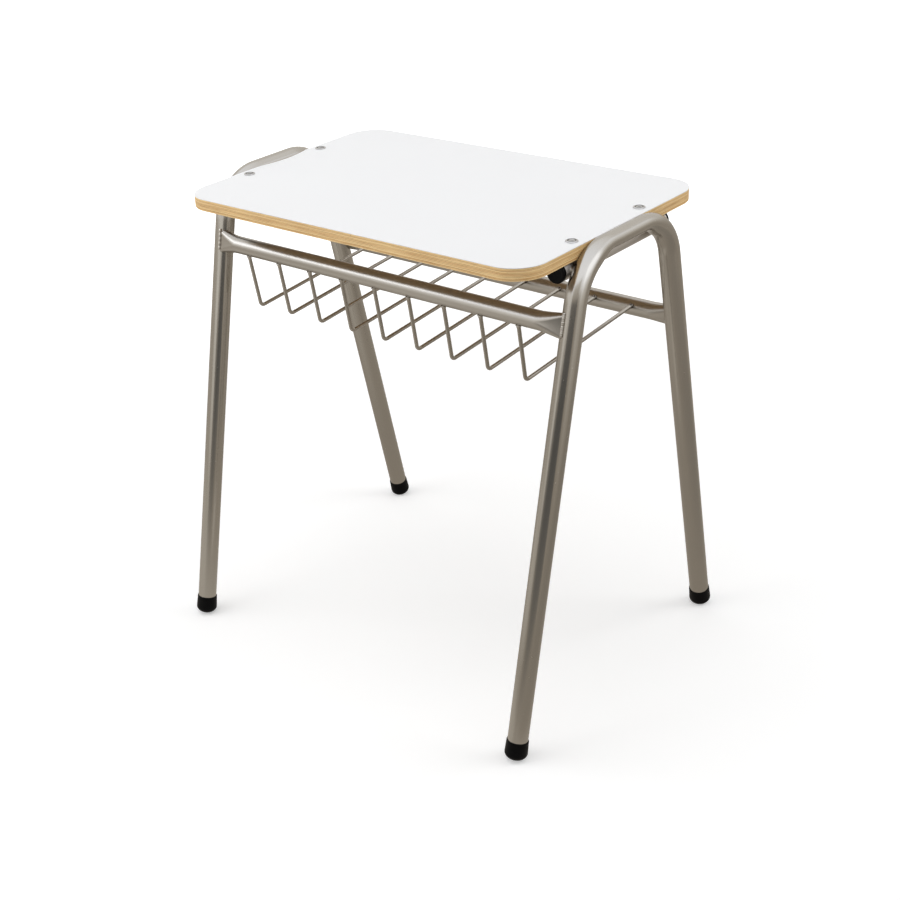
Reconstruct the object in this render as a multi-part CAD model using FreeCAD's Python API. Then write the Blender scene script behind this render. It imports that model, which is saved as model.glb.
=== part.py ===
import FreeCAD, Part
import math
import os

# School desk, millimetres. X runs along the long side of the board, Y across it, Z up.
# The origin is on the floor, midway between the four feet. The higher rail is on the -Y
# side, the front. The pupil sits on the +Y side, where the book shelf is open above the
# lower rail.

Vector = FreeCAD.Vector
UP = Vector(0, 0, 1)
ALONG = Vector(1, 0, 0)
ACROSS = Vector(0, 1, 0)

# Board: plywood panel with a laminate top face
desk_height = 760.0
board_length = 665.0
board_depth = 447.0
board_corner_radius = 50.0
panel_thickness = 18.0
laminate_thickness = 1.0
board_setback = 5.0
hollow_half_length = 92.0
hollow_depth = 5.0
bar_clearance = 0.3

# Leg frames: one bent tube each, upright, just outside the short edge of the board
leg_tube_diameter = 32.0
leg_tube_wall = 1.5
leg_bend_radius = 80.0
leg_lean_degrees = 12.46
bar_straight_length = 84.4
bar_rise = 7.0
frame_outset = 13.0

# Support tubes: they carry the board and are welded across the inner side of each frame
support_tube_diameter = 30.0
support_tube_wall = 1.5
support_tube_overhang = 30.5
support_tube_setback = 10.0
weld_gap = 0.1

# End caps of the support tubes
cap_flange_thickness = 3.0
cap_flange_round = 1.2
cap_plug_length = 14.0
cap_plug_wall = 2.0
cap_plug_floor = 2.0
cap_fit_clearance = 0.1

# Rails: round tubes whose ends are pressed flat and welded to the outer side of the legs
rail_diameter = 28.0
rail_wall = 1.5
upper_rail_drop = 81.8
lower_rail_drop = 167.2
rail_face_proud = 0.2
rail_end_inset = 7.0
rail_press_length = 40.0
rail_end_thickness = 11.0
rail_press_station_shares = (0.0, 0.2, 0.4, 0.6, 0.8, 1.0)
rail_press_ease = 1.3
round_side_share = 0.5
pressed_side_share = 0.3

# Basket wires: each falls from the upper rail, turns, and runs back to the lower rail
wire_count = 9
wire_diameter = 6.0
wire_end_margin = 30.0
wire_bend_radius = 8.0
wire_corner_drop = 101.1
wire_corner_setback = 6.5
wire_seat_degrees = 38.0
wire_end_rise = 5.5

# Feet: moulded ferrules pushed over the ends of the legs
foot_height = 32.5
foot_wall = 1.1
foot_rim_round = 0.5
foot_bulge = 0.8
foot_bulge_height = 11.4
foot_base_overrun = 0.8
foot_floor_thickness = 9.0
foot_fit_clearance = 0.1
foot_dome_step_shares = (0.25, 0.5, 0.75)

# Bolts that hold the board down, and the threaded inserts set in the support tubes
bolt_leg_inset = 15.8
bolt_diameter = 8.0
bolt_hole_clearance = 0.5
bolt_head_diameter = 18.0
bolt_head_rim = 1.2
bolt_head_rise = 1.3
bolt_dish_diameter = 11.0
bolt_dish_depth = 1.0
bolt_socket_width = 4.0
bolt_socket_depth = 1.6
bolt_reach_below_board = 13.0
insert_diameter = 11.0
insert_length = 16.0
insert_collar_diameter = 14.5
insert_collar_height = 6.0
insert_top_drop = 0.3
insert_fit_clearance = 0.1
thread_clearance = 0.05

# Weld beads
rail_bead_radius = 2.4
support_bead_radius = 8.0
support_bead_depth = 6.0

# Every cutting tool runs past the material by this much
cut_overrun = 10.0

# Places worked out from the sizes above
leg_radius = leg_tube_diameter / 2
support_radius = support_tube_diameter / 2
rail_radius = rail_diameter / 2
wire_radius = wire_diameter / 2
bolt_radius = bolt_diameter / 2
board_underside = desk_height - panel_thickness - laminate_thickness
leg_lean = math.radians(leg_lean_degrees)
bar_height = desk_height + bar_rise - leg_radius
bend_turn = math.pi / 2 - leg_lean
bend_tangent = leg_bend_radius * math.tan(bend_turn / 2)
bend_centre_height = bar_height - leg_bend_radius
bar_half_straight = bar_straight_length / 2
foot_half_spread = bar_half_straight + bend_tangent + bar_height * math.tan(leg_lean)
leg_run = bar_height / math.cos(leg_lean)
leg_x = board_length / 2 + frame_outset
support_x = leg_x - leg_radius - support_radius - weld_gap
support_height = board_underside - support_radius
upper_rail_height = board_underside - upper_rail_drop
lower_rail_height = board_underside - lower_rail_drop
sides = (("left", -1), ("right", 1))
ends = (("front", -1), ("back", 1))


def leg_centre_y(height):
    """Distance of a leg's centre line from the middle plane, on the leg or on its bend."""
    bend_end = bend_centre_height + leg_bend_radius * math.sin(leg_lean)
    if height <= bend_end:
        return foot_half_spread - height * math.tan(leg_lean)
    rise = height - bend_centre_height
    return bar_half_straight + math.sqrt(leg_bend_radius ** 2 - rise ** 2)


def leg_direction(end):
    """Unit vector up a leg, leaning in towards the bar."""
    return Vector(0, -end * math.sin(leg_lean), math.cos(leg_lean))


def rod(start, finish, radius):
    """Round bar between two points."""
    run = finish - start
    return Part.makeCylinder(radius, run.Length, start, run)


def bolt_places():
    """Name and plan position of each bolt, a little inside the leg that its tube is welded to."""
    half_span = leg_centre_y(support_height) - bolt_leg_inset
    places = []
    for end_name, end in ends:
        for side_name, side in sides:
            place = Vector(side * support_x, end * half_span, 0)
            places.append(("%s_%s" % (end_name, side_name), place))
    return places


def frame_path(side):
    """Centre line of a leg frame: leg, bend, bar, bend, leg."""
    x = side * leg_x
    legs = []
    bends = []
    for end in (-1, 1):
        foot_point = Vector(x, end * foot_half_spread, 0)
        tube_end = foot_point + leg_direction(end) * foot_floor_thickness
        bend_start = foot_point + leg_direction(end) * (leg_run - bend_tangent)
        bend_end = Vector(x, end * bar_half_straight, bar_height)
        middle_y = bar_half_straight + leg_bend_radius * math.sin(bend_turn / 2)
        middle_z = bend_centre_height + leg_bend_radius * math.cos(bend_turn / 2)
        legs.append((tube_end, bend_start))
        bends.append((bend_start, Vector(x, end * middle_y, middle_z), bend_end))
    return Part.Wire([
        Part.LineSegment(legs[0][0], legs[0][1]).toShape(),
        Part.Arc(bends[0][0], bends[0][1], bends[0][2]).toShape(),
        Part.LineSegment(bends[0][2], bends[1][2]).toShape(),
        Part.Arc(bends[1][2], bends[1][1], bends[1][0]).toShape(),
        Part.LineSegment(legs[1][1], legs[1][0]).toShape(),
    ])


def swept_round(path, radius):
    """Solid round section carried along a path of lines and arcs."""
    first = path.OrderedEdges[0]
    start = first.valueAt(first.FirstParameter)
    ring = Part.Wire(Part.makeCircle(radius, start, first.tangentAt(first.FirstParameter)))
    return path.makePipeShell([ring], True, True)


def leg_frame(side):
    path = frame_path(side)
    return swept_round(path, leg_radius).cut(swept_round(path, leg_radius - leg_tube_wall))


def leg_clearance(side, end):
    """Round bar along one leg, larger than the tube by the welding gap."""
    foot_point = Vector(side * leg_x, end * foot_half_spread, 0)
    return rod(foot_point, foot_point + leg_direction(end) * leg_run, leg_radius + weld_gap)


def rounded_board(bottom, thickness):
    """Rectangular plate with round corners, set back on the frame."""
    plate = Part.makeBox(board_length, board_depth, thickness,
                         Vector(-board_length / 2, board_setback - board_depth / 2, bottom))
    upright = [edge for edge in plate.Edges
               if abs(edge.tangentAt(edge.FirstParameter).dot(UP)) > math.sqrt(0.5)]
    return plate.makeFillet(board_corner_radius, upright)


def edge_hollow(side, bottom, thickness):
    """Shallow arc cut out of a short edge of the board, behind the bar of the leg frame."""
    radius = (hollow_half_length ** 2 + hollow_depth ** 2) / (2 * hollow_depth)
    centre_x = board_length / 2 - hollow_depth + radius
    start = Vector(side * centre_x, 0, bottom - cut_overrun)
    return Part.makeCylinder(radius, thickness + 2 * cut_overrun, start, UP)


def bolt_hole(place, bottom, depth):
    """Clearance hole that runs past both faces of a wall."""
    start = place + UP * (bottom - cut_overrun)
    return Part.makeCylinder(bolt_radius + bolt_hole_clearance / 2, depth + 2 * cut_overrun,
                             start, UP)


def board_layer(bottom, thickness):
    """One layer of the board, with room for the bars and the bolts."""
    layer = rounded_board(bottom, thickness)
    for _, side in sides:
        layer = layer.cut(edge_hollow(side, bottom, thickness))
        layer = layer.cut(swept_round(frame_path(side), leg_radius + bar_clearance))
    for _, place in bolt_places():
        layer = layer.cut(bolt_hole(place, bottom, thickness))
    return layer


def support_axis(side, end):
    """End point of a support tube's centre line."""
    half_length = leg_centre_y(support_height) + support_tube_overhang
    return Vector(side * support_x, support_tube_setback + end * half_length, support_height)


def support_tube(side):
    front = support_axis(side, -1)
    back = support_axis(side, 1)
    overrun = ACROSS * cut_overrun
    bore_radius = support_radius - support_tube_wall
    tube = rod(front, back, support_radius).cut(rod(front - overrun, back + overrun, bore_radius))
    for _, place in bolt_places():
        if place.x * side > 0:
            start = place + UP * support_height
            depth = support_radius + cut_overrun
            radius = insert_diameter / 2 + insert_fit_clearance
            tube = tube.cut(Part.makeCylinder(radius, depth, start, UP))
    return tube


def tube_cap(side, end):
    """Plastic end cap: round-edged flange outside, hollow plug inside the tube."""
    rim = support_axis(side, end)
    outward = ACROSS * end
    flange = Part.makeCylinder(support_radius, cap_flange_thickness, rim, outward)
    outer_edges = [edge for edge in flange.Edges
                   if isinstance(edge.Curve, Part.Circle)
                   and (edge.CenterOfMass - rim).dot(outward) > cap_flange_thickness / 2]
    flange = flange.makeFillet(cap_flange_round, outer_edges)
    plug_radius = support_radius - support_tube_wall - cap_fit_clearance
    plug = Part.makeCylinder(plug_radius, cap_plug_length, rim - outward * cap_plug_length, outward)
    bore = Part.makeCylinder(plug_radius - cap_plug_wall, cap_plug_length - cap_plug_floor,
                             rim - outward * cap_plug_length, outward)
    return flange.fuse(plug.cut(bore)).removeSplitter()


def oval_wire(centre, half_height, half_thickness, side_share, tilt):
    """Closed oval of four tangent arcs in a plane across X, turned by the tilt.

    The side arcs take an angle that is a share of the largest one the oval allows, and
    the end arcs take the rest. Both radii follow from the two half sizes.
    """
    side_angle = side_share * 2 * math.atan2(half_thickness, half_height)
    cosine = math.cos(side_angle)
    sine = math.sin(side_angle)
    end_radius = (sine * half_thickness - (1 - cosine) * half_height) / (cosine + sine - 1)
    join_y = end_radius * cosine
    join_z = half_height - end_radius * (1 - sine)

    def placed(y, z):
        return centre + Vector(0, y * math.cos(tilt) - z * math.sin(tilt),
                               y * math.sin(tilt) + z * math.cos(tilt))

    joins = [placed(join_y, join_z), placed(-join_y, join_z),
             placed(-join_y, -join_z), placed(join_y, -join_z)]
    return Part.Wire([
        Part.Arc(joins[0], placed(0, half_height), joins[1]).toShape(),
        Part.Arc(joins[1], placed(-half_thickness, 0), joins[2]).toShape(),
        Part.Arc(joins[2], placed(0, -half_height), joins[3]).toShape(),
        Part.Arc(joins[3], placed(half_thickness, 0), joins[0]).toShape(),
    ])


def rail_y(height, end):
    """Rail's centre line: the pressed end's outer face is level with the leg's outer side."""
    outset = leg_radius + rail_face_proud - rail_end_thickness / 2
    return end * (leg_centre_y(height) + outset / math.cos(leg_lean))


def pressed_half_height():
    """A pressed end keeps the girth of the tube: what it loses in thickness it gains in height."""
    return (rail_end_thickness + math.pi * (rail_diameter - rail_end_thickness) / 2) / 2


def rail_half_length():
    return leg_x - rail_end_inset


def rail_solid(height, end, inset):
    """Rail's outer form, or its bore when the wall is taken off as the inset."""
    y = rail_y(height, end)
    half_round = rail_half_length() - rail_press_length
    solid = rod(Vector(-half_round, y, height), Vector(half_round, y, height),
                rail_radius - inset)
    for _, side in sides:
        wires = []
        for share in rail_press_station_shares:
            eased = share ** rail_press_ease
            half_thickness = rail_radius + (rail_end_thickness / 2 - rail_radius) * eased
            half_height = rail_radius + (pressed_half_height() - rail_radius) * eased
            side_share = round_side_share + (pressed_side_share - round_side_share) * eased
            centre = Vector(side * (half_round + rail_press_length * share), y, height)
            wires.append(oval_wire(centre, half_height - inset, half_thickness - inset,
                                   side_share, end * leg_lean))
        solid = solid.fuse(Part.makeLoft(wires, True, False))
    return solid


def rail(height, end):
    shape = rail_solid(height, end, 0).cut(rail_solid(height, end, rail_wall))
    for _, side in sides:
        shape = shape.cut(leg_clearance(side, end))
    return shape


def rail_weld_bead(height, end, side):
    """Bead in the corner between a pressed rail end and the leg, as long as the end is tall."""
    half_run = pressed_half_height() - rail_bead_radius
    reach = rail_end_inset - rail_bead_radius / 2
    outset = math.sqrt((leg_radius + rail_bead_radius / 2) ** 2 - reach ** 2)
    along = leg_direction(end)
    square = Vector(0, end * math.cos(leg_lean), math.sin(leg_lean))
    on_leg = Vector(side * leg_x, end * leg_centre_y(height), height)
    middle = on_leg + square * outset - ALONG * (side * reach)
    low = middle - along * half_run
    high = middle + along * half_run
    bead = rod(low, high, rail_bead_radius)
    for point in (low, high):
        bead = bead.fuse(Part.makeSphere(rail_bead_radius, point))
    bead = bead.cut(leg_clearance(side, end)).cut(rail_solid(height, end, 0))
    return max(bead.Solids, key=lambda piece: piece.Volume)


def basket_wire(x):
    """Bent wire: falls from the upper rail, turns, and butts on the lower rail above its axis."""
    seat_angle = math.radians(wire_seat_degrees)
    upper_axis = Vector(x, rail_y(upper_rail_height, -1), upper_rail_height)
    lower_axis = Vector(x, rail_y(lower_rail_height, 1), lower_rail_height)
    seat = upper_axis - Vector(0, math.sin(seat_angle), math.cos(seat_angle)) * rail_radius
    corner = upper_axis + Vector(0, wire_corner_setback, -wire_corner_drop)
    end_reach = math.sqrt(rail_radius ** 2 - wire_end_rise ** 2)
    landing = lower_axis + Vector(0, -end_reach, wire_end_rise)
    fall = (corner - seat).normalize()
    back = (landing - corner).normalize()
    start = seat + fall * (upper_axis - seat).dot(fall)
    turn = fall.getAngle(back)
    tangent = wire_bend_radius * math.tan(turn / 2)
    bend_start = corner - fall * tangent
    bend_end = corner + back * tangent
    inward = (back - fall).normalize()
    middle = corner + inward * (wire_bend_radius / math.cos(turn / 2) - wire_bend_radius)
    path = Part.Wire([
        Part.LineSegment(start, bend_start).toShape(),
        Part.Arc(bend_start, middle, bend_end).toShape(),
        Part.LineSegment(bend_end, landing + back * end_reach).toShape(),
    ])
    wire = swept_round(path, wire_radius)
    half = ALONG * wire_diameter
    for axis in (upper_axis, lower_axis):
        wire = wire.cut(rod(axis - half, axis + half, rail_radius + weld_gap))
    return max(wire.Solids, key=lambda piece: piece.Volume)


def wire_places():
    """The wires are spread evenly over the round length of the rails."""
    half_span = rail_half_length() - rail_press_length - wire_end_margin
    return [half_span * (2 * index / (wire_count - 1) - 1) for index in range(wire_count)]


def foot(side, end):
    """Ferrule: thin cone round the tube, widest above a domed sole, cut flat on the floor."""
    rim = leg_radius + foot_fit_clearance + foot_wall
    bulge = rim + foot_bulge
    dome = foot_bulge_height + foot_base_overrun
    axis_bottom = Vector(0, 0, -foot_base_overrun)
    widest = Vector(bulge, 0, foot_bulge_height)
    dome_points = [axis_bottom]
    for share in foot_dome_step_shares:
        angle = share * math.pi / 2
        dome_points.append(Vector(bulge * math.sin(angle), 0,
                                  foot_bulge_height - dome * math.cos(angle)))
    dome_points.append(widest)
    curve = Part.BSplineCurve()
    curve.interpolate(dome_points)
    rim_low = Vector(rim, 0, foot_height - foot_rim_round)
    rim_top = Vector(rim - foot_rim_round, 0, foot_height)
    corner = foot_rim_round * (1 - math.sqrt(0.5))
    rim_middle = Vector(rim - corner, 0, foot_height - corner)
    axis_top = Vector(0, 0, foot_height)
    outline = Part.Wire([
        curve.toShape(),
        Part.LineSegment(widest, rim_low).toShape(),
        Part.Arc(rim_low, rim_middle, rim_top).toShape(),
        Part.LineSegment(rim_top, axis_top).toShape(),
        Part.LineSegment(axis_top, axis_bottom).toShape(),
    ])
    body = Part.Face(outline).revolve(Vector(0, 0, 0), UP, 360)
    bore = Part.makeCylinder(leg_radius + foot_fit_clearance, foot_height + cut_overrun,
                             UP * foot_floor_thickness, UP)
    body = body.cut(bore)
    body.rotate(Vector(0, 0, 0), ALONG, end * leg_lean_degrees)
    under = Part.makeCylinder(bulge + cut_overrun, foot_height, -UP * foot_height, UP)
    body = body.cut(under)
    body.translate(Vector(side * leg_x, end * foot_half_spread, 0))
    return body


def hexagon(across_flats, height, base):
    """Hexagonal prism standing on its base point."""
    corner_radius = across_flats / 2 / math.cos(math.pi / 6)
    turns = [index * math.pi / 3 for index in range(6)]
    points = [base + Vector(math.cos(turn), math.sin(turn), 0) * corner_radius for turn in turns]
    return Part.Face(Part.makePolygon(points + [points[0]])).extrude(UP * height)


def bolt(place):
    """Low round head with a dished top and a hexagon socket, and a plain shank."""
    seat = place + UP * desk_height
    head_height = bolt_head_rim + bolt_head_rise
    head_radius = bolt_head_diameter / 2
    ball_radius = (head_radius ** 2 + bolt_head_rise ** 2) / (2 * bolt_head_rise)
    top = seat + UP * head_height
    head = Part.makeCylinder(head_radius, head_height, seat, UP)
    head = head.common(Part.makeSphere(ball_radius, top - UP * ball_radius))
    tip = place + UP * (board_underside - bolt_reach_below_board)
    shape = head.fuse(rod(tip, seat + UP * bolt_head_rim, bolt_radius))
    dish_floor = top - UP * bolt_dish_depth
    dish = Part.makeCylinder(bolt_dish_diameter / 2, bolt_dish_depth + cut_overrun, dish_floor, UP)
    socket = hexagon(bolt_socket_width, bolt_socket_depth + cut_overrun,
                     dish_floor - UP * bolt_socket_depth)
    return shape.cut(dish).cut(socket).removeSplitter()


def threaded_insert(place):
    """Bush through the top wall of a support tube, with a collar squeezed out under the wall."""
    top = place + UP * (board_underside - insert_top_drop)
    body = Part.makeCylinder(insert_diameter / 2, insert_length, top - UP * insert_length, UP)
    collar_height = support_tube_wall + insert_collar_height
    collar_top = support_height + support_radius
    collar = Part.makeCylinder(insert_collar_diameter / 2, collar_height,
                               place + UP * (collar_top - collar_height), UP)
    axis = place + UP * support_height
    half = ACROSS * insert_collar_diameter
    inside = rod(axis - half, axis + half,
                 support_radius - support_tube_wall - insert_fit_clearance)
    thread = Part.makeCylinder(bolt_radius + thread_clearance, insert_length + 2 * cut_overrun,
                               top - UP * (insert_length + cut_overrun), UP)
    return body.fuse(collar.common(inside)).cut(thread).removeSplitter()


def support_weld_bead(side, end):
    """Bead around the spot where a support tube touches a leg, between the two round tubes."""
    y = end * leg_centre_y(support_height)
    start = Vector(side * (leg_x - leg_radius - support_bead_depth / 2), y, support_height)
    bead = Part.makeCylinder(support_bead_radius, support_bead_depth, start, ALONG * side)
    tube = rod(support_axis(side, -1), support_axis(side, 1), support_radius)
    return bead.cut(swept_round(frame_path(side), leg_radius)).cut(tube)


def pieces():
    """Every node's name with its solid or its group of like solids."""
    found = [
        ("top_panel", board_layer(board_underside, panel_thickness)),
        ("top_laminate", board_layer(board_underside + panel_thickness, laminate_thickness)),
        ("upper_rail", rail(upper_rail_height, -1)),
        ("lower_rail", rail(lower_rail_height, 1)),
    ]
    for side_name, side in sides:
        found.append((side_name + "_leg_frame", leg_frame(side)))
        found.append((side_name + "_support_tube", support_tube(side)))
    for end_name, end in ends:
        for side_name, side in sides:
            corner = "%s_%s" % (end_name, side_name)
            found.append((corner + "_tube_cap", tube_cap(side, end)))
            found.append((corner + "_foot", foot(side, end)))
    for name, place in bolt_places():
        found.append((name + "_bolt", bolt(place)))
        found.append((name + "_threaded_insert", threaded_insert(place)))
    for index, x in enumerate(wire_places()):
        found.append(("basket_wire_%d" % (index + 1), basket_wire(x)))
    rail_beads = [rail_weld_bead(height, end, side)
                  for height, end in ((upper_rail_height, -1), (lower_rail_height, 1))
                  for _, side in sides]
    found.append(("rail_weld_beads", Part.makeCompound(rail_beads)))
    support_beads = [support_weld_bead(side, end) for _, side in sides for _, end in ends]
    found.append(("support_weld_beads", Part.makeCompound(support_beads)))
    return found


os.makedirs("parts", exist_ok=True)
for name, shape in pieces():
    shape.exportStep("parts/%s.step" % name)
    print("%-28s solids %2d volume %10.1f valid %s" % (
        name, len(shape.Solids), shape.Volume, shape.isValid()))
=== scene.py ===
import math

import bpy
import numpy as np
from mathutils import Matrix, Vector


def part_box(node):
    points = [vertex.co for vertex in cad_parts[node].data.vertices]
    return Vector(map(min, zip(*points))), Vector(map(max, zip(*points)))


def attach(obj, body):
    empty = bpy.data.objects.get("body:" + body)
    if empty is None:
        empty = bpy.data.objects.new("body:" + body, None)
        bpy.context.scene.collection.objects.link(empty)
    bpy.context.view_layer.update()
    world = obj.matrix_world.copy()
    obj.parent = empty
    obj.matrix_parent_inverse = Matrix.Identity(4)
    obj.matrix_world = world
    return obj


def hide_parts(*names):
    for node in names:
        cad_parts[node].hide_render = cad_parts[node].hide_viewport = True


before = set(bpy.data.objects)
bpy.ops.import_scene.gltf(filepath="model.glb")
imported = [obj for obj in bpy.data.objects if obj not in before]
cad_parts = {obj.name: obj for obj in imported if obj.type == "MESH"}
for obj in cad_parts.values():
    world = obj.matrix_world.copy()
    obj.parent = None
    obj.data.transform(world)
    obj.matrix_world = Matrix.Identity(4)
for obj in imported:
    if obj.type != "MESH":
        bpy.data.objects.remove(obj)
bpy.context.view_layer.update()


# Leg frames
# Each end frame is one steel tube, cold bent twice into a leg, a bar and a leg, and brushed to
# a warm satin finish. The bar stands a little higher than the board, just outside its short
# edge, and the bending has pressed the right one a little flatter than round.

def add(name, data):
    """New object in the scene, at the origin."""
    made = bpy.data.objects.new(name, data)
    bpy.context.scene.collection.objects.link(made)
    return made


def skin(name, grid, closed=True, sharp_degrees=None):
    """Mesh of a grid of points, row after row along the piece and column after column around it.

    Four neighbours make one face. On a closed piece the last column joins the first, and a fan
    shuts each end. The faces are turned outwards by the sign of the volume they enclose. The
    UV map named run holds metres along the rows and metres around the columns.
    """
    rows, columns = grid.shape[:2]
    across = columns if closed else columns - 1
    r, c = (a.ravel() for a in np.meshgrid(np.arange(rows - 1), np.arange(across), indexing="ij"))
    after = (c + 1) % columns
    quads = np.stack([r * columns + c, r * columns + after,
                      (r + 1) * columns + after, (r + 1) * columns + c], axis=1)
    quad_rows = np.stack([r, r, r + 1, r + 1], axis=1)
    quad_columns = np.stack([c, c + 1, c + 1, c], axis=1)
    points = grid.reshape(-1, 3)
    fans = fan_rows = fan_columns = np.zeros((0, 3), int)
    if closed:
        points = np.concatenate([points, [grid[0].mean(0), grid[-1].mean(0)]])
        c = np.arange(columns)
        after = (c + 1) % columns
        low = np.stack([np.full(columns, rows * columns), after, c], axis=1)
        top = (rows - 1) * columns
        high = np.stack([np.full(columns, rows * columns + 1), top + c, top + after], axis=1)
        fans = np.concatenate([low, high])
        fan_rows = np.repeat([0, rows - 1], columns)[:, None].repeat(3, axis=1)
        fan_columns = np.concatenate([np.stack([c, c + 1, c], axis=1),
                                      np.stack([c, c, c + 1], axis=1)])
    a, b, d = (points[np.concatenate([quads[:, i], quads[:, j]])]
               for i, j in ((0, 0), (1, 2), (2, 3)))
    volume = np.einsum("ij,ij->", a, np.cross(b, d))
    if len(fans):
        volume += np.einsum("ij,ij->", points[fans[:, 0]],
                            np.cross(points[fans[:, 1]], points[fans[:, 2]]))
    if volume < 0:
        quads, quad_rows, quad_columns = quads[:, ::-1], quad_rows[:, ::-1], quad_columns[:, ::-1]
        fans, fan_rows, fan_columns = fans[:, ::-1], fan_rows[:, ::-1], fan_columns[:, ::-1]
    mesh = bpy.data.meshes.new(name)
    mesh.from_pydata(points.tolist(), [], quads.tolist() + fans.tolist())
    step_along = np.linalg.norm(np.diff(grid, axis=0), axis=2).mean(1)
    middle_row = grid[rows // 2]
    step_around = np.linalg.norm(np.roll(middle_row, -1, axis=0) - middle_row, axis=1)
    along = np.concatenate([[0], np.cumsum(step_along)])
    around = np.concatenate([[0], np.cumsum(step_around)])
    all_rows = np.concatenate([quad_rows.ravel(), fan_rows.ravel()]).astype(int)
    all_columns = np.concatenate([quad_columns.ravel(), fan_columns.ravel()]).astype(int)
    layer = mesh.uv_layers.new(name="run")
    layer.data.foreach_set("uv", np.stack([along[all_rows], around[all_columns]], axis=1).ravel())
    mesh.shade_smooth()
    if sharp_degrees:
        mesh.set_sharp_from_angle(angle=math.radians(sharp_degrees))
    return add(name, mesh)


def tube_grid(path, radius, first, columns):
    """Circle of points around each point of a path. The circle starts at the direction first,
    made square to the path; radius is one number or one per point."""
    tangent = np.gradient(path, axis=0)
    tangent /= np.linalg.norm(tangent, axis=1)[:, None]
    first = np.asarray(first, float) - tangent * (tangent @ np.asarray(first, float))[:, None]
    first /= np.linalg.norm(first, axis=1)[:, None]
    second = np.cross(tangent, first)
    turn = np.linspace(0, 2 * math.pi, columns, endpoint=False)[None, :, None]
    radius = np.broadcast_to(radius, (len(path),))[:, None, None]
    ring = first[:, None] * np.cos(turn) + second[:, None] * np.sin(turn)
    return path[:, None] + ring * radius


class Wire:
    """A shader socket that takes part in sums: each sum on values adds its Math node."""

    def __init__(self, finish, socket):
        self.finish = finish
        self.socket = socket

    def maths(self, operation, first, second):
        """The result of one Math node."""
        return self.finish.node("ShaderNodeMath", {"operation": operation},
                                {0: first, 1: second})[0]

    def __add__(self, other):
        return self.maths("ADD", self, other)

    def __sub__(self, other):
        return self.maths("SUBTRACT", self, other)

    def __rsub__(self, other):
        return self.maths("SUBTRACT", other, self)

    def __mul__(self, other):
        return self.maths("MULTIPLY", self, other)

    __radd__ = __add__
    __rmul__ = __mul__

    def floor(self):
        """The whole number at or below the value."""
        return self.maths("FLOOR", self, 0)

    def odd(self):
        """0 for even numbers and 1 for odd ones."""
        return self - (self * 0.5).floor() * 2

    def wave(self):
        """The sine of the value."""
        return self.maths("SINE", self, 0)

    def most(self, other):
        """The larger of two values."""
        return self.maths("MAXIMUM", self, other)

    def ramp(self, low, high, smooth=True):
        """0 below low, 1 above high, and a smooth or straight rise between them."""
        kind = "SMOOTHSTEP" if smooth else "LINEAR"
        return self.finish.node("ShaderNodeMapRange", {"interpolation_type": kind},
                                {"Value": self, "From Min": low, "From Max": high})[0]


class Finish:
    """A material under construction, with its own shader and the nodes that feed it."""

    def __init__(self, name, shader="ShaderNodeBsdfPrincipled", world=None, **constants):
        self.material = world or bpy.data.materials.new(name)
        self.material.use_nodes = True
        self.tree = self.material.node_tree
        self.tree.nodes.clear()
        kind = "ShaderNodeOutputWorld" if world else "ShaderNodeOutputMaterial"
        output = self.tree.nodes.new(kind)
        self.shader = self.tree.nodes.new(shader)
        self.tree.links.new(self.shader.outputs[0], output.inputs["Surface"])
        self.feed(**constants)

    def give(self, socket, value):
        """Links a socket to a wire, or sets it to a number or a colour."""
        if isinstance(value, Wire):
            self.tree.links.new(value.socket, socket)
        else:
            socket.default_value = value

    def node(self, kind, settings=None, sockets=None):
        """Adds one node: first its settings, then the values or links of its sockets."""
        made = self.tree.nodes.new(kind)
        for key, value in (settings or {}).items():
            if key == "stops":
                ramp = made.color_ramp
                while len(ramp.elements) < len(value):
                    ramp.elements.new(0.5)
                for element, (place, colour) in zip(ramp.elements, value):
                    element.position = place
                    element.color = (*colour, 1)
            else:
                setattr(made, key, value)
        for key, value in (sockets or {}).items():
            self.give(made.inputs[key], value)
        return [Wire(self, out) for out in made.outputs]

    def blend(self, share, first, second):
        """One colour turning into another by a share from 0 to 1."""
        made = self.tree.nodes.new("ShaderNodeMix")
        made.data_type = "RGBA"
        self.give(made.inputs[0], share)
        colours = [socket for socket in made.inputs if socket.type == "RGBA"]
        for socket, value in zip(colours, (first, second)):
            self.give(socket, value if isinstance(value, Wire) else (*value, 1))
        return Wire(self, [s for s in made.outputs if s.type == "RGBA"][0])

    def parts(self, vector):
        """X, Y and Z of a vector."""
        return self.node("ShaderNodeSeparateXYZ", None, {0: vector})

    def noise(self, place, waves, detail=2.0, rough=0.5):
        """Noise around 0.5, with a number of waves per metre for each axis, or one for all."""
        waves = waves if isinstance(waves, tuple) else (waves, waves, waves)
        mapped = self.node("ShaderNodeMapping", None, {"Vector": place, "Scale": waves})[0]
        return self.node("ShaderNodeTexNoise", None,
                         {"Vector": mapped, "Scale": 1.0, "Detail": detail,
                          "Roughness": rough})[0]

    def place(self):
        """Object coordinates, which are the desk's own metres."""
        return self.node("ShaderNodeTexCoord")[3]

    def run(self):
        """Metres along the piece and around it."""
        return self.node("ShaderNodeUVMap", {"uv_map": "run"})[0]

    def mix(self, share, first, second):
        """Feeds the closing Mix Shader: its share and the two shaders it stands between."""
        for socket, value in zip(self.shader.inputs, (share, first, second)):
            self.give(socket, value)

    def feed(self, **sockets):
        """Links or sets the sockets of the shader, by their names."""
        for name, value in sockets.items():
            self.give(self.shader.inputs[name.replace("_", " ")], value)

    def relief(self, height, depth):
        """Bump from a height between 0 and 1 that stands for a depth in metres."""
        self.feed(Normal=self.node("ShaderNodeBump", None,
                                   {"Height": height, "Distance": depth, "Strength": 1.0})[0])


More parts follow.
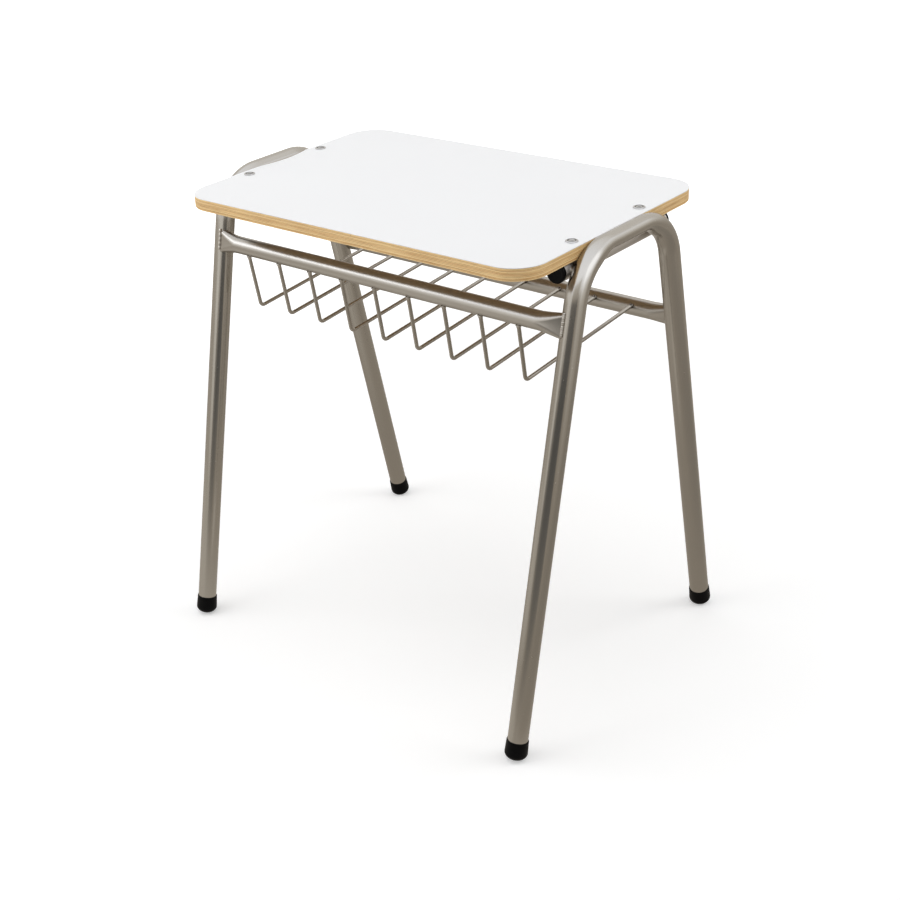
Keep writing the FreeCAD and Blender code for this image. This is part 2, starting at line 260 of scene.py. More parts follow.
def satin_steel(name, pale, deep, sheen):
    """Satin tube steel: fine hair lines along the tube, a cloudy sheen and a few handling
    marks. Pale and deep are the tones it wanders between; sheen is its mean roughness."""
    finish = Finish(name, Metallic=1.0)
    run = finish.run()
    place = finish.place()
    hair = finish.noise(run, (9.0, 2600.0, 1.0), detail=3.0)
    cloud = finish.noise(place, 7.0, detail=4.0, rough=0.6)
    smear = finish.noise(run, (22.0, 140.0, 1.0))
    marks = finish.noise(run, (150.0, 520.0, 1.0), detail=1.0).ramp(0.70, 0.80)
    dulling = cloud * 0.04 + hair * 0.03 + smear * 0.02 + marks * 0.06
    finish.feed(Base_Color=finish.blend(cloud * 0.7 + hair * 0.3, deep, pale),
                Roughness=sheen - 0.045 + dulling)
    finish.relief(hair * 0.8 + smear * 0.2, 0.00001)
    return finish.material


def put(piece, material, slot, *nodes):
    """Gives a finished piece its material and its place on the desk, and hides the solids it stands
    for.
    """
    piece.data.materials.append(material)
    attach(piece, "root")
    if nodes:
        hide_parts(*nodes)
    return piece


leg_lean = math.radians(12.46)
leg_bend_radius = 0.080
bar_half_straight = 0.0422
tube_end_height = 0.009
bend_flattening = 0.025
bar_press_reach = 0.40
bar_pressing = {"left": 0.0, "right": 0.28}
bar_drawing = {"left": 0.0, "right": 0.09}
bar_rise = {"left": 0.0, "right": 0.0020}
frame_low, frame_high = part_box("right_leg_frame")
leg_x = (frame_low.x + frame_high.x) / 2
leg_radius = (frame_high.x - frame_low.x) / 2
bar_height = frame_high.z - leg_radius
bend_turn = math.pi / 2 - leg_lean
bend_tangent = leg_bend_radius * math.tan(bend_turn / 2)
bend_centre_height = bar_height - leg_bend_radius
leg_run = bar_height / math.cos(leg_lean)
SIDES = {"left": -1, "right": 1}


def bar_press_share(turn):
    """1 on the bar, where the turn is 0, and a half wave down to 0 along the start of a bend."""
    return 0.5 + 0.5 * np.cos(np.pi * np.clip(turn / bend_turn / bar_press_reach, 0, 1))


def frame_path(side, leg_rows=70, bend_rows=44, bar_rows=14):
    """Centre line in a plane across X: half of it is the bar, an arc that starts level and
    turns down by 90 degrees less the lean, and the straight leg; the other half mirrors it.
    With it go two shares: the pull of the bend, a half wave over the arc, and the press of the
    bar, which is whole on the bar and eases off along the arc."""
    bar = np.stack([np.linspace(0, bar_half_straight, bar_rows), np.full(bar_rows, bar_height)], 1)
    turn = np.linspace(0, bend_turn, bend_rows)[1:]
    bend = np.stack([bar_half_straight + leg_bend_radius * np.sin(turn),
                     bend_centre_height + leg_bend_radius * np.cos(turn)], axis=1)
    down = np.linspace(0, leg_run - bend_tangent - tube_end_height, leg_rows)[1:, None]
    leg = bend[-1] + down * np.array([math.sin(leg_lean), -math.cos(leg_lean)])
    half = np.concatenate([bar, bend, leg])
    flat = np.zeros(len(half))
    flat[bar_rows:bar_rows + bend_rows - 1] = np.sin(np.pi * turn / bend_turn)
    press = bar_press_share(np.concatenate([np.zeros(bar_rows), turn,
                                            np.full(leg_rows - 1, bend_turn)]))
    whole = np.concatenate([half[:0:-1] * (-1, 1), half])
    path = np.column_stack([np.full(len(whole), side * leg_x), whole])
    return path, np.concatenate([flat[:0:-1], flat]), np.concatenate([press[:0:-1], press])


frame_steel = satin_steel("frame_steel", (0.430, 0.401, 0.355), (0.390, 0.364, 0.320), 0.215)
for side_name, side in SIDES.items():
    path, flat, press = frame_path(side)
    grid = tube_grid(path, leg_radius, (1, 0, 0), columns=72)
    from_path = grid - path[:, None]
    path[:, 2] += bar_rise[side_name] * press
    lower = bend_flattening * flat + bar_pressing[side_name] * press
    squeeze = 1 - np.stack([bar_drawing[side_name] * press, lower, lower], axis=1)[:, None]
    tube = skin(side_name + "_frame_tube", path[:, None] + from_path * squeeze)
    put(tube, frame_steel, "tube_steel", side_name + "_leg_frame")


# Support tubes
# A short straight tube is welded across the inner side of each frame, under the board, and
# carries it. Its ends stop at the flanges of the end caps, and threaded bushes set in its top
# wall take the bolts.

def recoat(node, material):
    """Gives a solid that stays in view its material."""
    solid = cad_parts[node]
    solid.data.materials.clear()
    solid.data.materials.append(material)


cap_flange = 0.0055
board_tube_rows = 24
# The support tubes' steel is paler than the frame steel: the extra paleness paints light onto them.
support_steel_painted_light = satin_steel("support_steel_painted_light", (0.64, 0.61, 0.57), (0.57, 0.54, 0.50), 0.42)
insert_steel = satin_steel("insert_steel", (0.66, 0.64, 0.60), (0.58, 0.56, 0.52), 0.32)
for side_name, side in SIDES.items():
    low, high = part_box(side_name + "_support_tube")
    radius = (high.x - low.x) / 2
    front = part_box("front_%s_tube_cap" % side_name)[0].y + cap_flange
    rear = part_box("back_%s_tube_cap" % side_name)[1].y - cap_flange
    path = np.column_stack([np.full(board_tube_rows, (low.x + high.x) / 2),
                            np.linspace(front, rear, board_tube_rows),
                            np.full(board_tube_rows, high.z - radius)])
    tube = skin(side_name + "_board_tube", tube_grid(path, radius, (1, 0, 0), columns=64),
                sharp_degrees=50)
    put(tube, support_steel_painted_light, "tube_steel", side_name + "_support_tube")
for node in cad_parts:
    if node.endswith("_threaded_insert"):
        recoat(node, insert_steel)


# End caps of the support tubes
# Each is a moulded black plastic plug. Its flange covers the end of the tube, with a rounded
# rim and a shallow dish in the middle, and the hollow plug behind it is inside the tube.

def lathe(name, profile, base, axis, columns=72, sharp_degrees=None):
    """Surface of revolution. The profile gives radius and height, and each of its points goes
    round an axis that starts at the base and is square to X; the ends are shut by fans."""
    axis = np.asarray(axis, float)
    first = np.cross(axis, (1, 0, 0))
    second = np.cross(axis, first)
    turn = np.linspace(0, 2 * math.pi, columns, endpoint=False)[None, :, None]
    ring = first * np.cos(turn) + second * np.sin(turn)
    profile = np.asarray(profile, float)
    grid = np.asarray(base, float) + profile[:, 1, None, None] * axis
    grid = grid + profile[:, 0, None, None] * ring
    return skin(name, grid, sharp_degrees=sharp_degrees)


def quarter_round(centre, radius, count):
    """Quarter circle of a profile, from its widest point to its highest."""
    turn = np.linspace(0, math.pi / 2, count)
    return [(centre[0] + radius * math.cos(t), centre[1] + radius * math.sin(t)) for t in turn]


def moulded_black(name, pebble, sheen):
    """Black moulded plastic: a fine skin of pebbles of a given depth, faint flow marks and
    dust-grey scuffs, around a mean roughness."""
    finish = Finish(name, Specular_IOR_Level=0.07)
    place = finish.place()
    grain = finish.noise(place, 1500.0)
    flow = finish.noise(place, (40.0, 40.0, 160.0), detail=3.0)
    scuff = finish.noise(place, (90.0, 90.0, 260.0), detail=4.0, rough=0.7).ramp(0.58, 0.76)
    finish.feed(Base_Color=finish.blend(scuff * 0.55 + flow * 0.2, (0.0016, 0.0016, 0.0018),
                                        (0.011, 0.010, 0.0095)),
                Roughness=sheen - 0.06 + flow * 0.12 + scuff * 0.16)
    finish.relief(grain * 0.8 + flow * 0.2, pebble)
    return finish.material


ENDS = {"front": -1, "back": 1}
cap_round = 0.0012
cap_seam = 0.0002
cap_plug_length = 0.011
cap_plug_share = 0.86
cap_nose_length = 0.001
cap_nose_share = 0.80
cap_dish = 0.0005
cap_dish_steps = ((0.74, 0), (0.70, 0.6), (0.62, 1), (0.1, 1))
cap_black = moulded_black("cap_black", 0.00006, 0.36)
for end_name, end in ENDS.items():
    for side_name, side in SIDES.items():
        node = "%s_%s_tube_cap" % (end_name, side_name)
        low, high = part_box(node)
        radius = (high.x - low.x) / 2
        outer = high.y if end > 0 else low.y
        base = ((low.x + high.x) / 2, outer - end * cap_flange, (low.z + high.z) / 2)
        profile = [(radius * cap_nose_share, -cap_plug_length),
                   (radius * cap_plug_share, cap_nose_length - cap_plug_length),
                   (radius * cap_plug_share, 0.0), (radius - cap_seam, 0.0), (radius, cap_seam)]
        profile += quarter_round((radius - cap_round, cap_flange - cap_round), cap_round, 7)
        profile += [(radius * share, cap_flange - cap_dish * depth)
                    for share, depth in cap_dish_steps]
        cap = lathe("%s_%s_end_cap" % (end_name, side_name), profile, base, (0, end, 0),
                    sharp_degrees=60)
        put(cap, cap_black, "black_plastic", node)


# Rails
# Two round tubes tie the end frames together: the higher one along the front, the lower one
# along the back. Their ends are pressed flat, with a three-sided facet running out from the
# flat, and are welded to the legs, level with their outer sides.

def pressed_section(steps, radius, flat):
    """Outline of a tube pressed between flat jaws: two half circles joined by two flats, with
    the girth of the round tube kept. Steps are distances around the girth, from the middle of
    the outer flat, so that each keeps to the same strip of the wall all along the tube."""
    girth = 2 * math.pi * radius + 4 * flat
    upper = np.where(steps > girth / 2, girth - steps, steps)
    turn = np.clip((upper - flat) / radius, 0, math.pi)
    out = radius * np.cos(turn)
    tall = np.where(upper < flat, upper, np.where(
        upper < flat + math.pi * radius, flat + radius * np.sin(turn),
        flat - (upper - flat - math.pi * radius)))
    return out, np.where(steps > girth / 2, -tall, tall)


def leg_centre_y(height):
    """Distance of a leg's centre line from the middle plane, on the leg or on its bend."""
    if height <= bend_centre_height + leg_bend_radius * math.sin(leg_lean):
        return foot_half_spread - height * math.tan(leg_lean)
    rise = height - bend_centre_height
    return bar_half_straight + math.sqrt(leg_bend_radius ** 2 - rise ** 2)


def rail_centre(node):
    """Y and Z of a rail's centre line. The outer face of the pressed end stands barely proud
    of the leg's outer side, so the line is half that end further in, square to the leg."""
    offset = leg_radius + rail_proud - rail_end_thickness / 2
    y = leg_centre_y(rail_heights[node]) + offset / math.cos(leg_lean)
    return np.array([rail_ends[node] * y, rail_heights[node]])


def rail_grid(node, columns=96, rows_in_press=44, rows_in_middle=30):
    """Sections along X. Past the round length the jaw radius falls and the flat grows by an
    eased share of the way to the end, and the two flats are dished a little."""
    half_round = rail_half_length - rail_press
    share = np.linspace(0, 1, rows_in_press)
    press = half_round + rail_press * share
    x = np.concatenate([-press[::-1], np.linspace(-half_round, half_round, rows_in_middle)[1:-1],
                        press])
    share = np.clip((np.abs(x) - half_round) / rail_press, 0, 1) ** rail_press_ease
    jaw = rail_radius + (rail_end_thickness / 2 - rail_radius) * share[:, None]
    flat = math.pi * (rail_radius - jaw) / 2
    steps = np.linspace(0, 2 * math.pi * rail_radius, columns, endpoint=False)[None, :]
    out, tall = pressed_section(steps, jaw, flat)
    dish = rail_dish * share[:, None] * np.clip(1 - (tall / np.maximum(flat, 1e-6)) ** 2, 0, 1)
    out = out - np.sign(out) * dish
    end = rail_ends[node]
    out = end * out
    cosine, sine = math.cos(end * leg_lean), math.sin(end * leg_lean)
    y, z = rail_centre(node)
    return np.stack([np.broadcast_to(x[:, None], out.shape), y + out * cosine - tall * sine,
                     z + out * sine + tall * cosine], axis=2)


foot_half_spread = bar_half_straight + bend_tangent + bar_height * math.tan(leg_lean)
rail_radius = 0.014
rail_end_thickness = 0.011
rail_press = 0.040
rail_press_ease = 1.3
rail_proud = 0.0002
rail_dish = 0.0005
rail_drops = {"upper_rail": 0.0818, "lower_rail": 0.1672}
rail_ends = {"upper_rail": -1, "lower_rail": 1}
panel_low, panel_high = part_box("top_panel")
rail_steel = satin_steel("rail_steel", (0.445, 0.415, 0.370), (0.400, 0.373, 0.330), 0.295)
rail_half_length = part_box("upper_rail")[1].x
rail_heights = {node: panel_low.z - drop for node, drop in rail_drops.items()}
for node in rail_heights:
    rail = skin(node + "_tube", rail_grid(node), sharp_degrees=55)
    put(rail, rail_steel, "tube_steel", node)


# Rail weld beads
# Each pressed rail end is welded to its leg by one upright bead in the corner between them.
# The bead was laid in short steps, so it has a row of ripples and uneven edges.

bead_radius = 0.0021
bead_ripple = 0.0030
bead_wave = {"left": 0.02, "right": 0.14}
bead_swell = {"left": 1.3, "right": 1.0}
bead_wander = 0.06
bead_wander_turns = 900
bead_tip_share = 0.98
weld_steel = satin_steel("weld_steel", (0.60, 0.56, 0.50), (0.50, 0.465, 0.41), 0.34)
rail_inset = leg_x - rail_half_length
bead_reach = rail_inset - bead_radius / 2
bead_outset = math.sqrt((leg_radius + bead_radius / 2) ** 2 - bead_reach ** 2)
pressed_half = (rail_end_thickness + math.pi * (rail_radius - rail_end_thickness / 2)) / 2
bead_half = pressed_half - bead_radius * 1.6


def bead_path(node, side):
    """Straight line up the leg, in the corner between the rail end and the leg. With it go the
    distances of its points from its middle and the direction square to the leg."""
    end = rail_ends[node]
    height = rail_heights[node]
    along = np.array([0, -end * math.sin(leg_lean), math.cos(leg_lean)])
    square = np.array([0, end * math.cos(leg_lean), math.sin(leg_lean)])
    on_leg = np.array([side * leg_x, end * leg_centre_y(height), height])
    middle = on_leg + square * bead_outset - np.array([side * bead_reach, 0, 0])
    half = bead_half + bead_radius * bead_tip_share
    steps = np.linspace(-half, half, 120)
    return middle + steps[:, None] * along, steps, square


for node in rail_heights:
    for side_name, side in SIDES.items():
        path, steps, square = bead_path(node, side)
        wave = bead_wave[side_name]
        ripple = 1 - wave + wave * np.abs(np.sin(math.pi * steps / bead_ripple + side))
        wander = 1 - bead_wander * (1 + np.sin(steps * bead_wander_turns + side * 2))
        over = np.maximum(np.abs(steps) - bead_half, 0) / bead_radius
        tip = np.sqrt(np.maximum(1 - over ** 2, 0.02))
        radius = bead_radius * bead_swell[side_name] * ripple * wander * tip
        bead = skin("%s_%s_bead" % (side_name, node), tube_grid(path, radius, square, columns=28))
        put(bead, weld_steel, "weld_metal")
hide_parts("rail_weld_beads")
recoat("support_weld_beads", weld_steel)


# Basket wires
# Nine bent wires make the book shelf. Each is welded under the higher rail, falls, turns,
# and runs back to butt against the lower rail, with a small weld at each end.

wire_radius = 0.003
wire_bend_radius = 0.008
wire_corner_drop = 0.1011
wire_corner_setback = 0.0065
wire_end_rise = 0.0055
wire_seat = math.radians(38)
wire_start_bite = 0.0006
wire_end_bite = 0.0004
wire_weld_spread = 0.0013
wire_weld_length = 0.0026
# Where the painted shade at the far end of each wire starts and where it is full, back from the
# end.
wire_end_shade_start = 0.0065
wire_end_shade_full = 0.0030


def satin_wire(name, length):
    """Drawn wire: greyer than the tubes, with draw lines along it and a far end painted dark,
    which stands in for the shade where it butts against the lower rail."""
    finish = Finish(name, Metallic=1.0)
    run = finish.run()
    place = finish.place()
    along = finish.parts(run)[0]
    draw = finish.noise(run, (14.0, 3800.0, 1.0))
    cloud = finish.noise(place, 16.0, detail=3.0)
    # Painted shade: the colour turns dark towards the far end, where the wire meets the lower rail.
    painted_end_shade = along.ramp(length - wire_end_shade_start, length - wire_end_shade_full)
    drawn = finish.blend(cloud * 0.6 + draw * 0.4, (0.37, 0.34, 0.295), (0.43, 0.395, 0.345))
    finish.feed(Base_Color=finish.blend(painted_end_shade * (0.55 + cloud * 0.4), drawn, (0.06, 0.05, 0.04)),
                Roughness=0.23 + cloud * 0.05 + draw * 0.03)
    finish.relief(draw, 0.00001)
    return finish.material


def wire_path():
    """Centre line in Y and Z: a straight fall, an arc and a straight run back. The points of
    the two straights follow a half wave, which crowds them near their ends for the welds."""
    upper, lower = rail_centre("upper_rail"), rail_centre("lower_rail")
    seat = upper - rail_radius * np.array([math.sin(wire_seat), math.cos(wire_seat)])
    corner = upper + np.array([wire_corner_setback, -wire_corner_drop])
    landing = lower + np.array([-math.sqrt(rail_radius ** 2 - wire_end_rise ** 2), wire_end_rise])
    fall = (corner - seat) / np.linalg.norm(corner - seat)
    back = (landing - corner) / np.linalg.norm(landing - corner)
    turn = math.acos(fall @ back)
    tangent = wire_bend_radius * math.tan(turn / 2)
    inward = (back - fall) / np.linalg.norm(back - fall)
    centre = corner + inward * wire_bend_radius / math.cos(turn / 2)
    sweep = np.linspace(-turn / 2, turn / 2, 22)[:, None]
    middle = (fall + back) / np.linalg.norm(fall + back)
    bend = centre + wire_bend_radius * (np.sin(sweep) * middle - np.cos(sweep) * inward)
    ease = 0.5 - 0.5 * np.cos(np.linspace(0, math.pi, 34))
    start = seat - fall * wire_start_bite
    stop = landing + back * wire_end_bite
    first = start + (corner - fall * tangent - start) * ease[:-1, None]
    last = corner + back * tangent + (stop - corner - back * tangent) * ease[1:, None]
    return np.concatenate([first, bend, last])


wire_line = wire_path()
wire_steps = np.concatenate([[0], np.cumsum(np.linalg.norm(np.diff(wire_line, axis=0), axis=1))])
to_end = np.minimum(wire_steps, wire_steps[-1] - wire_steps)
wire_swell = wire_radius + wire_weld_spread * np.exp(-(to_end / wire_weld_length) ** 2)
wire_steel = satin_wire("wire_steel", wire_steps[-1])
for node in sorted(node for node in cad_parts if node.startswith("basket_wire_")):
    low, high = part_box(node)
    path = np.column_stack([np.full(len(wire_line), (low.x + high.x) / 2), wire_line])
    wire = skin(node + "_rod", tube_grid(path, wire_swell, (1, 0, 0), columns=24))
    put(wire, wire_steel, "tube_steel", node)


# Feet
# Black moulded ferrules are pushed over the ends of the legs. Each widens from its rim down
# to a rounded sole, which the lean of the leg leaves flat where it stands on the floor.

foot_height = 0.0325
foot_wall = 0.0012
foot_swell = 0.0008
foot_rim = leg_radius + foot_wall
foot_bulge = foot_rim + foot_swell
foot_bulge_height = 0.0114
foot_overrun = 0.0008
foot_pole = 0.04
foot_lip = 0.0005
foot_room = 0.0001
foot_tuck = 0.0004
foot_tuck_depth = 0.0016


def foot_profile():
    """Half a rounded sole as a quarter ellipse, a straight taper up to the rim, and a rounded
    lip that turns in to the tube."""
    turn = np.linspace(foot_pole, math.pi / 2, 22)
    dome = foot_bulge_height + foot_overrun
    sole = [(foot_bulge * math.sin(t), foot_bulge_height - dome * math.cos(t)) for t in turn]
    share = np.linspace(0.08, 0.96, 14)
    cone = [(foot_bulge + (foot_rim - foot_bulge) * s,
             foot_bulge_height + (foot_height - foot_lip - foot_bulge_height) * s) for s in share]
    lip = quarter_round((foot_rim - foot_lip, foot_height - foot_lip), foot_lip, 5)
    return sole + cone + lip + [(leg_radius + foot_room, foot_height - foot_room),
                                (leg_radius - foot_tuck, foot_height - foot_tuck_depth)]


foot_black = moulded_black("foot_black", 0.00008, 0.40)
for end_name, end in ENDS.items():
    for side_name, side in SIDES.items():
        axis = (0, -end * math.sin(leg_lean), math.cos(leg_lean))
        base = (side * leg_x, end * foot_half_spread, 0)
        foot = lathe("%s_%s_ferrule" % (end_name, side_name), foot_profile(), base, axis,
                     columns=80)
        places = np.zeros(len(foot.data.vertices) * 3, np.float32)
        foot.data.vertices.foreach_get("co", places)
        places[2::3] = np.maximum(places[2::3], 0)
        foot.data.vertices.foreach_set("co", places)
        foot.data.update()
        put(foot, foot_black, "black_plastic", "%s_%s_foot" % (end_name, side_name))


# Top panel
# The board is plywood, nine beech and birch plies glued crosswise, with round corners. Its
# edge is sanded and lacquered, so that the plies show as fine lines, and each short edge is
# cut away beside the bar of its leg frame.

board_corner = 0.050
corner_points = 25
long_edge_points = 60
short_edge_points = 130
hollow_half = 0.056
hollow_middle = 0.012
hollow_depth = {"left": 0.0085, "right": 0.0005}
bar_room = 0.0003
face_shares = (0.04, 0.35, 0.7, 0.93)
face_margin = 0.0025
board_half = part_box("top_laminate")[1].x


def board_outline():
    """Points around the board seen from above, with their outward directions: four straight
    edges and four quarter circles, counter-clockwise from the right edge."""
    x = board_half - board_corner
    front, back = panel_low.y + board_corner, panel_high.y - board_corner
    arcs = []
    for centre, start in (((x, back), 0), ((-x, back), 90), ((-x, front), 180), ((x, front), 270)):
        turn = np.radians(np.linspace(start, start + 90, corner_points))
        normal = np.column_stack([np.cos(turn), np.sin(turn)])
        arcs.append((np.array(centre) + board_corner * normal, normal))
    points, normals = [], []
    for index, (arc, normal) in enumerate(arcs):
        goal = arcs[(index + 1) % 4][0][0]
        count = short_edge_points if index % 2 else long_edge_points
        share = np.linspace(0, 1, count)[1:-1, None]
        points += [arc, arc[-1] + (goal - arc[-1]) * share]
        normals += [normal, np.repeat(normal[-1:], count - 2, axis=0)]
    return np.concatenate(points), np.concatenate(normals)


def beside_the_bar(x, y, z):
    """Keeps an edge point inside the shallow arc cut behind the bar, and clear of the bar as it
    is pressed: the height from the bar's middle is divided by what the pressing leaves."""
    beyond = np.maximum(np.abs(y) - bar_half_straight, 0)
    share = bar_press_share(np.arctan2(beyond, z - bend_centre_height))
    for side_name, side in SIDES.items():
        depth = hollow_depth[side_name]
        bow = (hollow_half ** 2 + depth ** 2) / (2 * depth)
        from_middle = np.minimum(np.abs(y - hollow_middle), hollow_half)
        arc = board_half - depth + bow - np.sqrt(bow ** 2 - from_middle ** 2)
        middle = bar_height + bar_rise[side_name] * share
        off_axis = np.where(beyond > 0, np.hypot(beyond, z - bend_centre_height)
                            - leg_bend_radius - middle + bar_height, z - middle)
        off_axis = off_axis / (1 - bar_pressing[side_name] * share)
        room = np.sqrt(np.maximum((leg_radius + bar_room) ** 2 - off_axis ** 2, 0))
        room = room * (1 - bar_drawing[side_name] * share)
        cove = np.where(room > 0, leg_x - room, board_half)
        limit = np.minimum(np.minimum(arc, cove), board_half)
        x = np.where(x * side > limit, side * limit, x)
    return x


def slab_grid(bottom, top, low_round, high_round, steps=6):
    """Rings of the outline: out from the middle of the underside, round the lower arris, up the
    edge, round the upper arris and in to the middle of the top."""
    turn = np.linspace(0, math.pi / 2, steps)
    rings = [(share, 0, bottom) for share in face_shares]
    rings += [(1, face_margin + low_round, bottom)]
    rings += [(1, low_round * (1 - math.sin(t)), bottom + low_round * (1 - math.cos(t)))
              for t in turn]
    rings += [(1, 0, z) for z in np.linspace(bottom + low_round, top - high_round, 12)[1:-1]]
    rings += [(1, high_round * (1 - math.cos(t)), top - high_round * (1 - math.sin(t)))
              for t in turn]
    rings += [(1, face_margin + high_round, top)]
    rings += [(share, 0, top) for share in face_shares[::-1]]
    outline, normals = board_outline()
    middle = np.array([0, (panel_low.y + panel_high.y) / 2])
    grid = []
    for share, inset, z in rings:
        edge = outline.copy()
        edge[:, 0] = beside_the_bar(edge[:, 0], edge[:, 1], z)
        edge = middle + (edge - normals * inset - middle) * share
        grid.append(np.column_stack([edge, np.full(len(edge), z)]))
    return np.stack(grid)


def ply_edge(name, bottom, thickness, plies):
    """Plywood. On the edge, plies take turns between long grain, drawn out along the edge, and
    end grain, closely speckled, with thin glue lines between them, dark hair lines and a few
    knots. The two faces show one sheet of veneer with long grain along the board. Its tone is
    partly the veneer's own and partly painted shade, kept dark for the shade under the board."""
    finish = Finish(name, Specular_IOR_Level=0.35)
    place = finish.place()
    z = finish.parts(place)[2]
    around = finish.parts(finish.run())[1]
    level = (z - bottom) * (plies / thickness)
    sway = finish.noise(place, (16.0, 16.0, 30.0))
    layer = level + (sway - 0.5) * 0.55
    number = layer.floor()
    within = layer - number
    crosswise = number.odd()
    tint = finish.node("ShaderNodeTexWhiteNoise", {"noise_dimensions": "1D"}, {"W": number})[0]
    streaks = finish.noise(place, (60.0, 60.0, 2600.0), detail=3.0, rough=0.6)
    pores = finish.noise(place, (1300.0, 1300.0, 900.0))
    on_edge = finish.node("ShaderNodeCombineXYZ", None, {0: around, 1: z})[0]
    lines = finish.noise(on_edge, (16.0, 1900.0, 1.0), detail=4.0, rough=0.70)
    grain = streaks * (1 - crosswise * 0.65) + pores * (crosswise * 0.65)
    body = within.ramp(0.0, 0.30) * (1 - within.ramp(0.82, 1.0))
    knot_seed = finish.noise(on_edge, (130.0, 700.0, 1.0), rough=0.6)
    knots = knot_seed.ramp(0.700, 0.745)
    broad = finish.noise(place, 9.0)
    pale, deep = (1.0, 0.71, 0.33), (0.66, 0.30, 0.075)
    tone = grain * 0.45 + lines * 1.60 + tint * 0.30 + broad * 0.15 - crosswise * 0.16 - 0.46
    wood = finish.blend(tone.ramp(0.30, 0.85, smooth=False), deep, pale)
    glue = (1 - body) * (0.12 + (0.62 - lines).ramp(0.0, 0.2) * 0.70)
    wood = finish.blend(glue, wood, (0.17, 0.075, 0.022))
    wood = finish.blend(knots * 0.9, wood, (0.11, 0.055, 0.025))
    rings = finish.noise(place, (3.0, 26.0, 3.0), detail=3.0, rough=0.55)
    veneer_lines = finish.noise(place, (14.0, 700.0, 14.0))
    # Partly painted shade: the veneer's tones are darker than its wood, which stands in for the
    # shade under the board.
    veneer_and_underside_shade = finish.blend(((rings * 40).wave() * 0.5 + 0.5) * 0.5 + veneer_lines * 0.5,
                          (0.36, 0.23, 0.11), (0.50, 0.335, 0.17))
    facing = finish.parts(finish.node("ShaderNodeNewGeometry")[1])[2]
    on_face = (facing * facing).ramp(0.6, 0.8)
    finish.feed(Base_Color=finish.blend(on_face, wood, veneer_and_underside_shade),
                Roughness=0.42 + grain * 0.16 + knots * 0.1)
    finish.relief(grain * 0.6 + body * 0.4, 0.00012)
    return finish.material


panel_lower_arris = 0.0006
panel_upper_arris = 0.0001
panel_plies = 9
board_wood = ply_edge("board_wood", panel_low.z, panel_high.z - panel_low.z, panel_plies)
panel = skin("board_panel",
             slab_grid(panel_low.z, panel_high.z, panel_lower_arris, panel_upper_arris),
             sharp_degrees=50)
put(panel, board_wood, "plywood", "top_panel")


# Top laminate
# A thin hard sheet, near white, is bonded to the top of the plywood. Its edge is flush with
# the wood, with a fine round arris, and its face has a faint even texture.

laminate_lower_arris = 0.00002
laminate_upper_arris = 0.00035
laminate_low, laminate_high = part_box("top_laminate")
laminate = Finish("desk_laminate", Specular_IOR_Level=0.45)
laminate_place = laminate.place()
pebble = laminate.noise(laminate_place, 1100.0)
drift = laminate.noise(laminate_place, (4.0, 5.0, 4.0), detail=3.0)
rub = laminate.noise(laminate_place, (60.0, 700.0, 60.0)).ramp(0.60, 0.78)
laminate.feed(Base_Color=laminate.blend(drift * 0.7 + pebble * 0.3, (0.872, 0.876, 0.886),
                                        (0.904, 0.907, 0.914)),
              Roughness=0.40 + drift * 0.08 + pebble * 0.05 + rub * 0.04)
laminate.relief(pebble, 0.00003)
sheet = skin("board_laminate",
             slab_grid(laminate_low.z, laminate_high.z, laminate_lower_arris, laminate_upper_arris),
             sharp_degrees=50)
put(sheet, laminate.material, "laminate", "top_laminate")


# Bolts
# A low round bolt head, plated and bright, sits on the laminate at each corner of the board
# tubes. Its top is dished around a hexagon socket, and its shank goes down into the bush.

bolt_crown = 0.0025
bolt_dome = 0.0013
bolt_neck = 0.0030
bolt_edge = 0.0005
bolt_lip = 0.0003
bolt_nick = 0.0001
bolt_dish_radius = 0.0055
bolt_dish_depth = 0.0010
# Where the painted shade on the wall of the bolt's dish rises and where it falls away, in metres
# along the section.
bolt_dish_shade = (0.0092, 0.0097, 0.0112, 0.0120)
bolt_socket = 0.004
bolt_socket_depth = 0.0006


def bright_plate(name):
    """Bright plating with a fine grain, a soft bloom and a ring of painted shade, a dark colour
    from the lip of the dish down to its foot, whose start and end are metres along the section."""
    finish = Finish(name, Metallic=1.0)
    place = finish.place()
    inward = finish.parts(finish.run())[0]
    bloom = finish.noise(place, 420.0, detail=3.0)
    fine = finish.noise(place, 2400.0)
    # Painted shade: the dish wall is coloured dark where shade falls inside the dish.
    painted_dish_shade = inward.ramp(*bolt_dish_shade[:2]) * (1 - inward.ramp(*bolt_dish_shade[2:]))
    plate = finish.blend(bloom, (0.42, 0.41, 0.395), (0.58, 0.57, 0.555))
    finish.feed(Base_Color=finish.blend(painted_dish_shade * (0.72 + bloom * 0.28), plate, (0.03, 0.028, 0.025)),
                Roughness=0.12 + bloom * 0.08 + fine * 0.04)
    finish.relief(fine * 0.5 + bloom * 0.5, 0.00003)
    return finish.material


